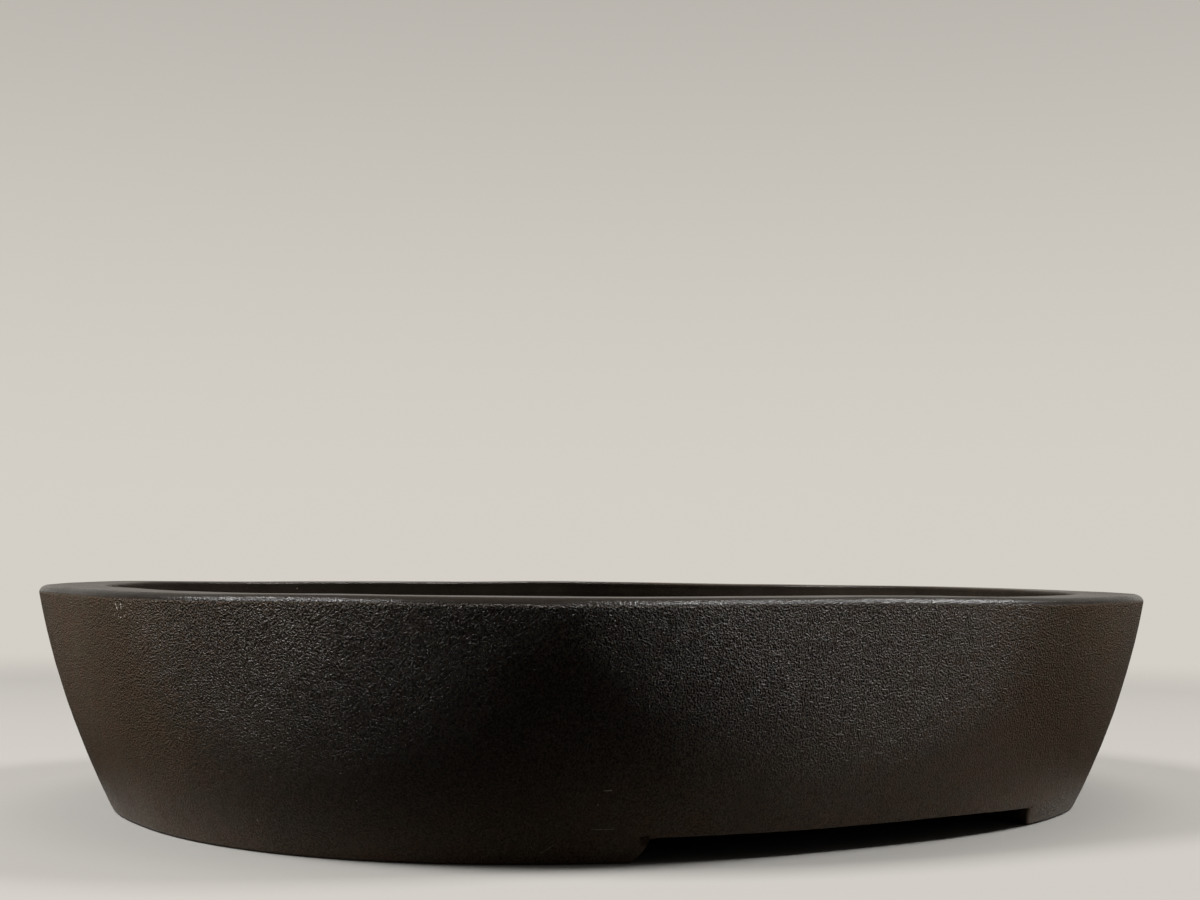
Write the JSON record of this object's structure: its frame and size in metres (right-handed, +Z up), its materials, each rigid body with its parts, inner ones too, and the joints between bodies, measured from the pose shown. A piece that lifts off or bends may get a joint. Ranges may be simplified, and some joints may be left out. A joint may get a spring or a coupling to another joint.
{
  "type": "oval bonsai pot",
  "caption": "Shallow oval bonsai pot in unglazed stoneware with an inward flat lip, cut feet and screened drainage holes.",
  "frame": {"origin": "middle of the pot at the level that its feet stand on", "axes": "+Z up, +X along the length of the oval, +Y across its width"},
  "size_m": [0.4494, 0.36, 0.085],
  "materials": {
    "stoneware": "matt unglazed, fine pear-skin grain",
    "plastic_mesh": "moulded, slightly satin",
    "wire": "brown anodised, drawn"
  },
  "bodies": {
    "root": {"floor_slab": "stoneware", "wall_band": "stoneware", "rim_lip": "stoneware", "foot_left": "stoneware", "foot_right": "stoneware", "drain_screen_left": "plastic_mesh", "drain_screen_right": "plastic_mesh", "screen_clip_left": "wire", "screen_clip_right": "wire"}
  },
  "joints": []
}
